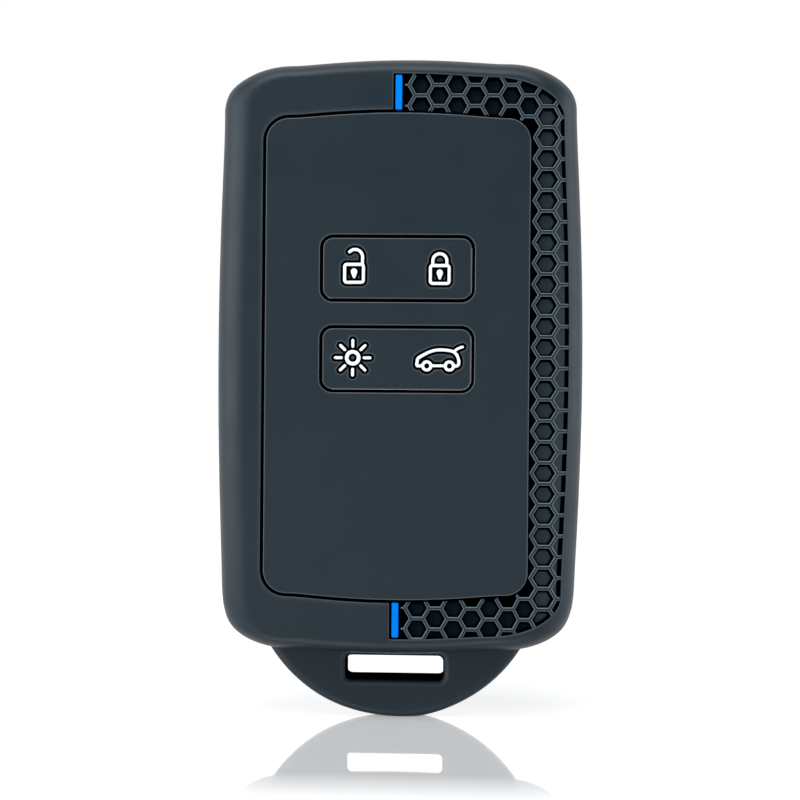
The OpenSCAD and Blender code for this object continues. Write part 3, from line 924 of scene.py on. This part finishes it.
def slab(loops, keep, top, bottom, tone):
    """Closed plate over the triangles between loops whose middles pass a test. The depth of its
    top and its tone, the painted light or shade on it, are each a number or a function of
    place. Its bottom is painted as shade, so its walls darken towards it."""
    flat, faces = triangulate(loops, 1e-5)
    used, faces = np.unique(faces[keep(flat[faces].mean(axis=1))], return_inverse=True)
    flat, faces = flat[used], faces.reshape(-1, 3)
    n, placed = len(flat), spread_column(flat)
    depth, light = (value(flat) if callable(value) else np.full(n, value) for value in (top, tone))
    sides = np.concatenate([faces[:, [0, 1]], faces[:, [1, 2]], faces[:, [2, 0]]])
    _, index, times = np.unique(np.sort(sides, axis=1), axis=0, return_index=True, return_counts=True)
    rim = sides[index[times == 1]]
    return (np.concatenate([front_ring(placed, depth), front_ring(placed, bottom)]),
            [faces, faces[:, ::-1] + n, np.column_stack([rim, rim[:, ::-1] + n])],
            np.concatenate([light, np.full(n, -1.0)]))


# %% The ribs
RIB_FOOT, FLOOR_TOP, FLOOR_FOOT = RECESS_D + 0.12, RECESS_D - 0.05, RECESS_D + 0.1   # depths
border = [outline(*grown(RECESS, RIM_LAP)), outline(*grown(PANEL_SPEC, GRILLE_GAP, END_GAP)),
          outline(*grown(PANEL_SPEC, END_CLEAR))]
rib_lines = (HOLE_APOTHEM, HOLE_APOTHEM + CHAMFER / 2, HOLE_APOTHEM + CHAMFER, PITCH / 2,
             OUTER_APOTHEM - CHAMFER, OUTER_APOTHEM - CHAMFER / 2, OUTER_APOTHEM)
rib_loops = [loop for apothem in rib_lines for loop in hexagons(apothem)]
ribs = slab(border + rib_loops + end_loops(), on_rib, rib_drop, RIB_FOOT, rib_shade_and_highlight)
print("ribs:", len(ribs[0]), "points")

# %% [markdown]
# Each cell has a floor that is painted paler in its middle, with a gutter all round that is
# painted black as shade, and the half cells beside the rim have a raised shelf. They are
# slabs again, cut by smaller hexagons and by the recess drawn in a little.

# %% Tests for floors and shelves
GUTTER, SHELF_GAP, SHELF_DEPTH, SHELF_Z = 0.18, 0.66, 0.8, 38.0
SHELF_LAP, SHELF_FAR, FIRST_FLOOR = 0.05, 29, 2      # shelf into a rib, past the rim, off the end wall
BEYOND_COLUMN = COLUMN_X + 0.4                       # the half cells start here


def floor_depth(p):
    """Distance from the nearest edge of a cell's floor: a rib, the rim or the panel."""
    in_cell = HOLE_APOTHEM - cell_distance(p)
    return np.minimum(np.minimum(in_cell, inset_of(p, RECESS)), inset_of(p, PANEL_SPEC, -1) - GRILLE_GAP)


def half_cell(p):
    """True in the half cells between the long column and the rim that have a shelf."""
    outer = abs(cells[:, 0] - cells[:, 0].max()) < SAME_COLUMN
    return outer[nearest_cell(p)] & (p[:, 0] > BEYOND_COLUMN) & (abs(p[:, 1]) < SHELF_Z)


def on_floor(p):
    """True on a cell's floor: inside the gutter, and not in a half cell with a shelf."""
    return (floor_depth(p) > GUTTER) & (p[:, 0] > END_WALL_X + FIRST_FLOOR) & ~half_cell(p)


def on_shelf(p):
    """True on the shelf of a half cell."""
    return (half_cell(p) & (cell_distance(p) < HOLE_APOTHEM + SHELF_LAP)
            & (share_of(*p.T, *grown(RECESS, -SHELF_GAP)) < 1))


# %% Floors of the cells and shelves beside the rim
FLOOR_SHIFT = (-0.11, 0, -0.10)                # the floors lie a little off the middles of their cells
FLOOR_FADE = 0.36                              # from the gutter's painted black shade to the paler painted middle
# How pale the floors are painted, as painted light and shade: by X, in the end rows and towards the corners.
PALE_X, PALE = [22.0, 22.3, 26], [-0.57, -0.1, 0.07]
END_ROW_Z, END_ROW_SHIFT = 38.9, 0.85          # the end rows turn pale this much further out
CORNER_Z, CORNER_SPAN, CORNER_PALE = 36, 6, 0.12
# The shelves are painted a little lighter, as painted light.
SHELF_PAINTED_LIGHT = 0.06


def floor_painted_light_and_shade(p):
    """Painted shade: black at the gutter, then paler, and more so towards the long column and the corners."""
    height = abs(p[:, 1])
    x = p[:, 0] - END_ROW_SHIFT * (height > END_ROW_Z)
    corner = np.clip((height - CORNER_Z) / CORNER_SPAN, 0, 1) * np.clip(x - PALE_X[0], 0, 1)
    rise = np.clip((floor_depth(p) - GUTTER) / FLOOR_FADE, 0, 1)
    return -1 + (1 + np.interp(x, PALE_X, PALE) + CORNER_PALE * corner) * rise


floor_lines = [GUTTER + g for g in (0, 0.12, 0.24, FLOOR_FADE)] + [0.9]
floor_loops = [loop for inset in floor_lines for loop in hexagons(HOLE_APOTHEM - inset)]
floor_loops += [outline(*grown(RECESS, -g)) for g in (GUTTER, GUTTER + 0.18, GUTTER + FLOOR_FADE)]
floor_loops += [outline(*grown(PANEL_SPEC, GRILLE_GAP + g)) for g in (GUTTER, GUTTER + FLOOR_FADE)]
floors = slab(floor_loops, on_floor, FLOOR_TOP, FLOOR_FOOT, floor_painted_light_and_shade)
floors = (floors[0] + FLOOR_SHIFT, *floors[1:])
shelf_box = np.array([(BEYOND_COLUMN, -SHELF_Z), (SHELF_FAR, -SHELF_Z), (SHELF_FAR, SHELF_Z),
                      (BEYOND_COLUMN, SHELF_Z)])
shelf_loops = [outline(*grown(RECESS, -SHELF_GAP))] + hexagons(HOLE_APOTHEM + SHELF_LAP) + [shelf_box]
shelves = slab(shelf_loops, on_shelf, SHELF_DEPTH, FLOOR_FOOT, SHELF_PAINTED_LIGHT)
print("floors:", len(floors[0]), "points, shelves:", len(shelves[0]), "points")
piece("honeycomb_net", [ribs, floors, shelves], rib_slate, nodes=("honeycomb_grille",),
      crease=30)

# %% [markdown]
# ## Signs on the pads
#
# Each white sign is a set of strokes that stand in a narrow sunk moat. The moat makes
# the thin black line round the sign, with painted shade in it and a painted highlight on
# its rim. Both come from the same strokes: a distance field says how far each point of a
# fine grid is from the nearest stroke, and the grid sinks where that distance is small.
# The strokes themselves are bands with a crowned section, swept along the same lines.

# %% Curves for strokes
def arc(cx, cz, r, start, stop, steps=24):
    """Points on a circle from one angle to another, in degrees."""
    a = np.radians(np.linspace(start, stop, steps + 1))
    return np.column_stack([cx + r * np.cos(a), cz + r * np.sin(a)])


def full_circle(cx, cz, r, steps=48):
    """Points all round a circle, the first not repeated."""
    return arc(cx, cz, r, 0, 360 - 360 / steps, steps - 1)


def smooth_path(points, steps=8):
    """Catmull-Rom curve through points: each span is a cubic of its four nearest points."""
    p = np.array(points, float)
    p = np.concatenate([[2 * p[0] - p[1]], p, [2 * p[-1] - p[-2]]])
    s = np.linspace(0, 1, steps + 1)[:-1, None]
    a, b, c, d = p[:-3, None], p[1:-2, None], p[2:-1, None], p[3:, None]
    square, cube = 2 * a - 5 * b + 4 * c - d, 3 * b - a - 3 * c + d
    curve = 0.5 * (2 * b + (c - a) * s + square * s**2 + cube * s**3)
    return np.concatenate([curve.reshape(-1, 2), p[-2:-1]])


# %% Strokes of the four signs
STROKE = 0.24                                  # half width of most strokes


def padlock_body(w, h, r):
    """Closed rounded square of a padlock, and its keyhole as a band that narrows."""
    frame_line = rounded(w - 2 * STROKE, h - 2 * STROKE, r - STROKE, 8)
    stem = np.column_stack([np.zeros(9), np.linspace(0.29, -0.53, 9)])
    widths = np.interp(np.linspace(0, 1, 9), [0, 0.25, 1], [0.51, 0.48, 0.24])
    return [(frame_line, STROKE, True), (stem, widths, False)]


open_hook = np.concatenate([arc(0.15, 2.64, 1.22, 137, 0), [[1.37, 2.2], [1.33, 1.5]]])
closed_hook = np.concatenate([[[1.13, 1.45]], arc(0, 2.22, 1.13, 0, 180), [[-1.13, 1.45]]])
rays = [(np.outer([1.86, 2.80], [math.cos(a), math.sin(a)]), 0.235, False)
        for a in np.radians(45 * np.arange(8))]
car_line = smooth_path([(-2.5, -0.96), (-3.36, -0.93), (-3.36, -0.2), (-3.24, 0.22), (-2.7, 0.62),
                        (-1.54, 1.22), (-0.62, 1.54), (0.31, 1.64), (1.23, 1.61), (2.16, 1.45),
                        (2.62, 1.25), (3.05, 0.78), (3.31, 0.12), (3.37, -0.55), (3.12, -0.93),
                        (2.5, -0.96)])
tail_line = smooth_path([(2.5, 1.32), (2.96, 1.70), (3.40, 1.95), (3.95, 2.14)])
floor_line = np.array([(-1.0, -0.93), (1.0, -0.93)])
wheels = [(full_circle(x, -0.96, 0.67, 24), STROKE, True) for x in (-1.81, 1.84)]
# Each sign: its pad, its place on it, and its strokes as path, half width and closed or not.
SIGNS = {
    "unlock": ("upper", (-7.0, -0.82), padlock_body(3.52, 3.38, 0.56) + [(open_hook, STROKE, False)]),
    "lock": ("upper", (6.87, -0.94), padlock_body(3.51, 3.38, 0.60) + [(closed_hook, STROKE, False)]),
    "sun": ("lower", (-7.1, 0.17), [(full_circle(0, 0, 0.97), 0.29, True)] + rays),
    "car": ("lower", (6.70, -0.1), wheels + [(car_line, STROKE, False), (tail_line, 0.21, False),
                                            (floor_line, 0.22, False)]),
}
print("strokes:", {k: len(v[2]) for k, v in SIGNS.items()})

# %% [markdown]
# A band with round ends is one surface over two parameters: the place along the stroke
# and the place across it. At an open end the band runs on by its half width while it
# narrows like a circle, so the end closes as a half round.

# %% White bands
SIGN_DEPTH, MOAT_DEPTH, MOAT_W = 0.02, 1.1, 0.34
BAND_FOOT = MOAT_DEPTH + 0.1
BAND_ACROSS = np.array([-1, -1, -0.97, -0.88, -0.5, 0, 0.5, 0.88, 0.97, 1, 1])
BAND_DEPTH = np.array([BAND_FOOT, 0.09, 0.04, 0.01, 0.003, 0, 0.003, 0.01, 0.04, 0.09, BAND_FOOT])


def band(path, half, closed):
    """Closed tube along a path. Its section is BAND_ACROSS times the half width across, and
    BAND_DEPTH deep: a crowned top and a square foot. An open end is a half round."""
    half = np.broadcast_to(half, len(path)).astype(float)
    along = np.roll(path, -1, 0) - np.roll(path, 1, 0) if closed else np.gradient(path, axis=0)
    along /= np.linalg.norm(along, axis=1)[:, None]
    if not closed:
        a = quarter(8)[1:]
        head = path[0] - np.outer(np.sin(a[::-1]), along[0]) * half[0]
        tail = path[-1] + np.outer(np.sin(a), along[-1]) * half[-1]
        half = np.concatenate([half[0] * np.cos(a[::-1]), half, half[-1] * np.cos(a)])
        path = np.concatenate([head, path, tail])
        along = np.concatenate([np.repeat(along[:1], len(a), 0), along, np.repeat(along[-1:], len(a), 0)])
    square = np.column_stack([along[:, 1], -along[:, 0]])
    flat = path[:, None] + square[:, None] * (half[:, None] * BAND_ACROSS)[..., None]
    points = np.stack([flat[..., 0], np.broadcast_to(BAND_DEPTH, flat.shape[:2]), flat[..., 1]], axis=-1)
    joined, (quads,), tones = skin(list(points.transpose(1, 0, 2)), closed=True)
    if not closed:
        quads = quads[abs(quads[:, 0] % len(path) - quads[:, 1] % len(path)) == 1]
    return joined, [quads], tones


for name, (side, (x, z), strokes) in SIGNS.items():
    place = (x, FRONT_Y + SIGN_DEPTH, z + PAD_Z[side])
    bands = [(points + place, faces, tones) for points, faces, tones in (band(*s) for s in strokes)]
    piece(f"{name}_sign", bands, white, body=f"{side}_button", crease=50)

# %% [markdown]
# The pad's front is a plate again, but two parts of its face are fine grids. The
# depth of a grid point is the moat's depth where it is nearer to a stroke than the
# moat's width, and rises to the face over a short soft edge.

# %% Grids with moats round the signs
GRID, SOFT = 0.065, 0.08
# Middle of each grid from its sign's place, and its half sizes.
SIGN_GRIDS = {"unlock": (0, 1.2, 3.1, 3.6), "lock": (0, 0.8, 3.1, 3.4), "sun": (0, 0, 3.7, 3.7),
              "car": (0.25, 0.25, 4.65, 2.85)}
# Painted shade in the moat, then a painted highlight on its rim.
MOAT_STEPS, MOAT_SHADE_AND_HIGHLIGHT = SOFT * np.array([0, 0.9, 1.4, 3.0, 4.6]), [-1, -0.4, 0.45, 0.4, 0]


def stroke_distance(p, strokes):
    """Distance from each point to the nearest stroke's edge, less than 0 inside a stroke."""
    best = np.full(len(p), 1e9)
    for path, half, closed in strokes:
        a, b = path, np.roll(path, -1, 0)
        half = np.broadcast_to(half, len(path)).astype(float)
        r0, r1 = half, np.roll(half, -1)
        if not closed:
            a, b, r0, r1 = a[:-1], b[:-1], r0[:-1], r1[:-1]
        for i in range(len(a)):
            span = b[i] - a[i]
            s = np.clip(((p - a[i]) @ span) / (span @ span), 0, 1)
            gap = np.linalg.norm(p - a[i] - s[:, None] * span, axis=1)
            best = np.minimum(best, gap - (r0[i] + (r1[i] - r0[i]) * s))
    return best


def sign_patch(name):
    """Grid round a sign, sunk near its strokes by MOAT_DEPTH * (1 - rise)^2, and its border."""
    side, (x, z), strokes = SIGNS[name]
    px, pz, half_x, half_z = SIGN_GRIDS[name]
    spans = [np.linspace(-half, half, int(2 * half / GRID) + 1) for half in (half_x, half_z)]
    gx, gz = np.meshgrid(*spans, indexing="ij")
    p = np.column_stack([gx.ravel(), gz.ravel()]) + (px, pz)
    d = stroke_distance(p, strokes)
    rise = np.clip((d - MOAT_W) / SOFT, 0, 1)
    placed = p + (x, z + PAD_Z[side])
    index = np.arange(gx.size).reshape(gx.shape)
    quads = np.stack([index[:-1, :-1], index[1:, :-1], index[1:, 1:], index[:-1, 1:]], axis=-1).reshape(-1, 4)
    border = np.concatenate([index[:-1, 0], index[-1, :-1], index[:0:-1, -1], index[0, :0:-1]])
    # Painted shade in the moat and a painted highlight on its rim.
    tones = np.interp(d, MOAT_W + MOAT_STEPS, MOAT_SHADE_AND_HIGHLIGHT)
    return (ring(placed, FRONT_Y + MOAT_DEPTH * (1 - rise)**2), [quads], tones), placed[border]


# %% [markdown]
# Behind each sign the pad has a pip, a low round stud that reaches through to the card's
# own button. It is a stack of circles with a small rounding and a flat cap.

# %% Pads with pips
PIP_R, PIP_L, PIP_EDGE, BUTTON_SPAN = 1.8, 0.6, 0.15, 14.0


def pip_patches(x, z):
    """A stud on the pad's inner face, and the circle where it stands. Its edge is drawn in by
    PIP_EDGE * (1 - cos a) where it is PIP_EDGE * (1 - sin a) short of its full length."""
    middle, loop = np.array([x, z]), full_circle(x, z, PIP_R)
    rings = [ring(loop, pocket_y)]
    rings += [ring(middle + (loop - middle) * (1 - PIP_EDGE / PIP_R * (1 - math.cos(a))),
                   pocket_y + PIP_L - PIP_EDGE * (1 - math.sin(a))) for a in quarter(5)]
    return [skin(rings), cap([rings[-1][:, [0, 2]]], pocket_y + PIP_L)], loop


for side, z in PAD_Z.items():
    outer = pad_loop(0, z)
    grids = [sign_patch(n) for n, sign in SIGNS.items() if sign[0] == side]
    pips = [pip_patches(way * BUTTON_SPAN / 2, z) for way in (-1, 1)]
    ledge, edge_rings = rolled_edge(outer, -1, PLATE_EDGE, FRONT_Y, pocket_y, [0.1, 0.9, 1])
    face = cap([ledge] + [border for _, border in grids], FRONT_Y)
    # Painted highlight on the pad's rounded edge, and painted shade down the wall of its groove.
    patches = [skin(edge_rings, [0, *EDGE_HIGHLIGHT_TONES, -1, -1, 0]), face] + [grid for grid, _ in grids]
    patches += [cap([outer] + [loop for _, loop in pips], pocket_y)]
    patches += [patch for pip, _ in pips for patch in pip]
    piece(f"{side}_press_pad", patches, slate, body=f"{side}_button",
          nodes=(f"{side}_pad",), crease=45)

# %% [markdown]
# ## Floor, light and camera
#
# A product picture on white needs a floor that is white to the camera and still shows
# where the object stands. The floor is a pale diffuse surface that also glows a little
# for the camera, and a weak mirror is mixed in near the object. The mirror stops behind
# the cover, because seen from there it would show the dark side of the room.

# %% Floor
WHITE = (1, 1, 1, 1)
FLOOR_REACH = 3.0                              # metres, as are the ranges below
GLOW_RANGE, GLOW = (0.05, 0.75), (1.45, 2.0)   # brighter away from the object
MIRROR_FRONT, MIRROR_SHARE = (-0.0725, -0.049), 0.56
MIRROR_BACK, MIRROR_SIDE = (0.0, 0.02), (0.034, 0.06)


def floor_finish():
    """White to the camera, pale diffuse to the lamps, with a mirror only under and before the
    cover, which fades to the front, the back and the sides."""
    material = bpy.data.materials.new("pale_floor")
    tree = Wiring(material)
    place = tree.add("TexCoord").outputs["Object"]
    parts = tree.add("SeparateXYZ", {"Vector": place}).outputs
    away = tree.add("VectorMath", {0: place}, operation="LENGTH").outputs["Value"]
    share = tree.ranged(parts["Y"], MIRROR_FRONT, (0, MIRROR_SHARE))
    for value, fade in ((parts["Y"], MIRROR_BACK), (tree.calc("ABSOLUTE", parts["X"]), MIRROR_SIDE)):
        share = tree.calc("MULTIPLY", share, tree.ranged(value, fade, (1, 0), "SMOOTHSTEP"))
    ray = tree.add("LightPath").outputs
    seen = tree.calc("MULTIPLY", tree.calc("MAXIMUM", ray["Is Camera Ray"], ray["Is Glossy Ray"]), 0.5)
    lit = tree.add("BsdfDiffuse", {"Color": (0.85, 0.85, 0.86, 1)})
    strength = tree.ranged(away, GLOW_RANGE, GLOW, "SMOOTHSTEP")
    glow = tree.add("Emission", {"Color": WHITE, "Strength": strength})
    mirror = tree.add("BsdfGlossy", {"Color": WHITE, "Roughness": 0.03})
    glowing = tree.add("MixShader", {"Fac": seen, 1: lit.outputs[0], 2: glow.outputs[0]})
    both = tree.add("MixShader", {"Fac": share, 1: glowing.outputs[0], 2: mirror.outputs[0]})
    tree.add("OutputMaterial", {"Surface": both.outputs[0]})
    return material


floor_mesh = bpy.data.meshes.new("floor")
floor_corners = np.array([(-1, -1, 0), (1, -1, 0), (1, 1, 0), (-1, 1, 0)]) * FLOOR_REACH
floor_mesh.from_pydata(floor_corners, [], [[0, 1, 2, 3]])
floor_mesh.materials.append(floor_finish())
floor = bpy.data.objects.new("floor", floor_mesh)
bpy.context.scene.collection.objects.link(floor)
print("floor:", 2 * FLOOR_REACH, "m wide")

# %% [markdown]
# The room is white to the camera, and dim grey to the object, so that the silicone
# stays dark and matt. Mirrors and highlights see a bright back wall and a dark front.

# %% World
ROOM_GREY = 0.24                               # what lights the object from all round
WALL_RANGE, WALL = (-0.1, 0.5), (0.06, 1.0)    # what gloss sees, from the front of the room to its back
world = bpy.data.worlds.new("studio")
bpy.context.scene.world = world
room = Wiring(world)
ray = room.add("LightPath").outputs
toward = room.add("SeparateXYZ", {"Vector": room.add("TexCoord").outputs["Generated"]}).outputs["Y"]
mirrored = room.blend(ray["Is Glossy Ray"], ROOM_GREY, room.ranged(toward, WALL_RANGE, WALL), "FLOAT")
seen = room.calc("MAXIMUM", ray["Is Camera Ray"], ray["Is Transmission Ray"])
air = room.add("Background", {"Color": WHITE, "Strength": room.blend(seen, mirrored, 1.0, "FLOAT")})
room.add("OutputWorld", {"Surface": air.outputs[0]})
print("world nodes:", len(room.nodes))

# %% [markdown]
# Large soft lamps left, right and above make the long gentle highlights on the silicone.
# Small lamps would be easier to place, but they would leave hard bright spots on the
# rounded edges. The lamps are weak, because a dark cover must not turn grey.

# %% Lamps
LAMP_TARGET = (0, 0, 0.055)
LAMPS = {   # place, width, height, watts, colour
    "left_softbox": ((-0.425, -0.185, 0.12), 0.50, 0.45, 2.4, (0.90, 0.96, 1.0)),
    "top_softbox": ((-0.05, -0.20, 0.48), 0.48, 0.36, 2.25, (0.94, 0.97, 1.0)),
    "right_softbox": ((0.45, -0.04, 0.12), 0.36, 0.40, 1.35, (0.82, 0.93, 1.0)),
}
for name, (place, width, height, watts, colour) in LAMPS.items():
    lamp = bpy.data.lights.new(name, "AREA")
    lamp.shape = "RECTANGLE"
    lamp.size, lamp.size_y = width, height
    lamp.energy, lamp.color = watts, colour
    made = bpy.data.objects.new(name, lamp)
    made.location = place
    made.rotation_euler = (Vector(LAMP_TARGET) - Vector(place)).to_track_quat("-Z", "Y").to_euler()
    bpy.context.scene.collection.objects.link(made)
print("lamps:", list(LAMPS))

# %% [markdown]
# The camera stands 300 mm in front of the cover and looks level at it. It stands a little
# to the honeycomb side, which shows the left walls of the slot and the grooves, and it
# leans by half a degree. The turn is small, so the front's edges stay nearly parallel, as
# they are in the photograph, and the lens needs no shift.

# %% Camera
CAMERA_TURN, CAMERA_ROLL, DISTANCE = math.radians(2.6), math.radians(0.475), 0.300
AIM_X, AIM_BELOW = 0.62, 7.05                  # the aim is this far off the body's middle
FOCAL_LENGTH = 83.6
aim = Vector((AIM_X, FRONT_Y, MIDDLE_Z - AIM_BELOW)) * MM
lens = bpy.data.cameras.new("camera")
lens.sensor_width = 36
lens.lens = FOCAL_LENGTH
lens.clip_start, lens.clip_end = 0.01, 20
camera = bpy.data.objects.new("camera", lens)
back_off = Vector((math.sin(CAMERA_TURN), -math.cos(CAMERA_TURN), 0)) * DISTANCE
camera.location = aim + back_off
facing = (-back_off).to_track_quat("-Z", "Y").to_matrix()
camera.rotation_euler = (facing @ Matrix.Rotation(CAMERA_ROLL, 3, "Z")).to_euler()
bpy.context.scene.collection.objects.link(camera)
bpy.context.scene.camera = camera
bpy.context.scene.view_settings.view_transform = "Standard"
print("camera at:", [round(v, 3) for v in camera.location])
